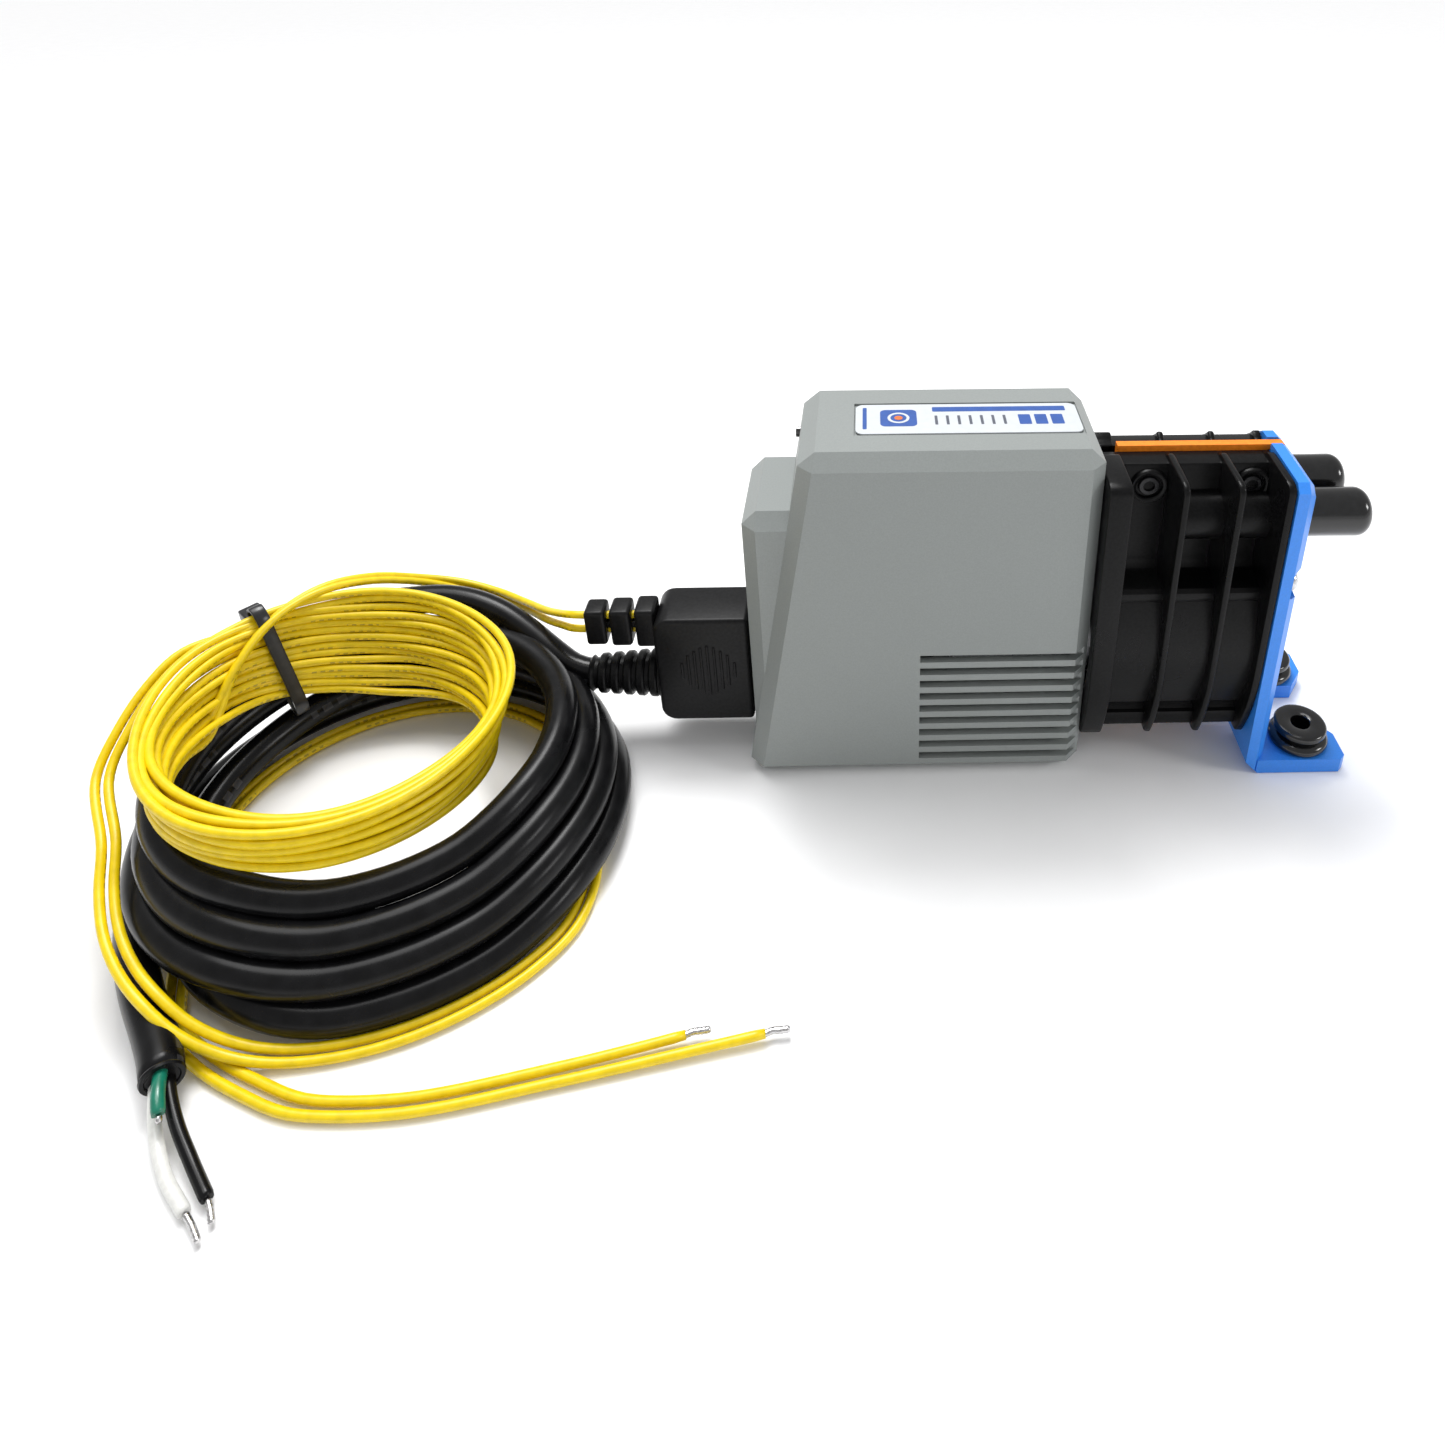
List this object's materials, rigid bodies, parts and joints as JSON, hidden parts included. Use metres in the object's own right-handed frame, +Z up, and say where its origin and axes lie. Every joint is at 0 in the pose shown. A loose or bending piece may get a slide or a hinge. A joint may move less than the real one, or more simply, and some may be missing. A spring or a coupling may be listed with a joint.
{
  "type": "mini condensate pump",
  "caption": "Mini condensate pump with a grey cover, ribbed body, mounting bracket, capped hose spigots and a detachable coiled supply and alarm lead.",
  "frame": {"origin": "under the middle of the pump, on the surface it stands on", "axes": "+X runs from the lead to the hose spigots, -Y is the front with the screws, +Z is up"},
  "size_m": [0.3137, 0.1491, 0.0982],
  "materials": {
    "cover_plastic": "fine-grain moulded light grey",
    "body_plastic": "satin moulded black",
    "bracket_plastic": "satin moulded bright blue",
    "gasket_rubber": "soft orange elastomer",
    "black_rubber": "smooth black rubber",
    "label_film": "printed white film",
    "steel": "plain machined steel",
    "black_steel": "black oxide steel",
    "brass": "plain brass",
    "copper": "enamelled copper wire",
    "board": "green solder mask",
    "natural_plastic": "natural white moulding",
    "yellow_insulation": "smooth yellow wire insulation",
    "green_insulation": "smooth green wire insulation",
    "black_jacket": "smooth black cord jacket",
    "led_lens": "clear red lens"
  },
  "bodies": {
    "pump": {"cover_shell": "cover_plastic", "rating_label": "label_film", "status_led": "led_lens", "front_body_half": "body_plastic", "rear_body_half": "body_plastic", "inlet_spigot": "body_plastic", "outlet_spigot": "body_plastic", "motor_end_bell": "body_plastic", "crankcase": "body_plastic", "head_manifold": "body_plastic", "socket_inlet": "body_plastic", "filter_capacitor": "body_plastic", "seam_gasket": "gasket_rubber", "valve_sheet": "gasket_rubber", "left_body_screw": "black_steel", "right_body_screw": "black_steel", "mounting_bracket": "bracket_plastic", "front_grommet": "black_rubber", "rear_grommet": "black_rubber", "motor_mount": "black_rubber", "diaphragm": "black_rubber", "front_bracket_screw": "steel", "rear_bracket_screw": "steel", "motor_can": "steel", "rear_bearing": "steel", "front_bearing": "steel", "stator_core": "steel", "head_screw_1": "steel", "head_screw_2": "steel", "head_screw_3": "steel", "stator_winding": "copper", "transformer": "copper", "socket_pins": "brass", "chamber_plate": "natural_plastic", "inlet_hose": "natural_plastic", "outlet_hose": "natural_plastic", "control_board": "board"},
    "rotor": {"motor_shaft": "steel", "rotor_magnet": "black_steel", "cooling_fan": "body_plastic", "eccentric_hub": "brass"},
    "wobble": {"wobble_plate": "natural_plastic", "drive_bearing": "steel"},
    "inlet_cap_body": {"inlet_cap": "black_rubber"},
    "outlet_cap_body": {"outlet_cap": "black_rubber"},
    "lead": {"plug_body": "body_plastic", "mains_strain_relief": "black_rubber", "alarm_strain_relief": "black_rubber", "mains_cord_lead": "black_jacket", "mains_cord_coil": "black_jacket", "mains_cord_tail": "black_jacket", "core_green": "green_insulation", "core_black": "black_jacket", "core_white": "natural_plastic", "alarm_wire_a_lead": "yellow_insulation", "alarm_wire_b_lead": "yellow_insulation", "alarm_wire_a_tail": "yellow_insulation", "alarm_wire_b_tail": "yellow_insulation", "alarm_wire_coil": "yellow_insulation", "alarm_outer_loop": "yellow_insulation"}
  },
  "joints": [
    {"name": "rotor_spin", "type": "hinge", "parent": "pump", "child": "rotor", "pos_m": [0, 0, 0.038], "axis": [1, 0, 0], "continuous": true},
    {"name": "wobble_tilt", "type": "hinge", "parent": "pump", "child": "wobble", "pos_m": [0.022, 0, 0.038], "axis": [0, 1, 0], "range_deg": [-3, 3]},
    {"name": "inlet_cap_pull", "type": "slide", "parent": "pump", "child": "inlet_cap_body", "axis": [1, 0, 0], "range_m": [0, 0.018]},
    {"name": "outlet_cap_pull", "type": "slide", "parent": "pump", "child": "outlet_cap_body", "axis": [1, 0, 0], "range_m": [0, 0.018]},
    {"name": "plug_pull", "type": "slide", "parent": "pump", "child": "lead", "axis": [-1, 0, 0], "range_m": [0, 0.016]}
  ]
}
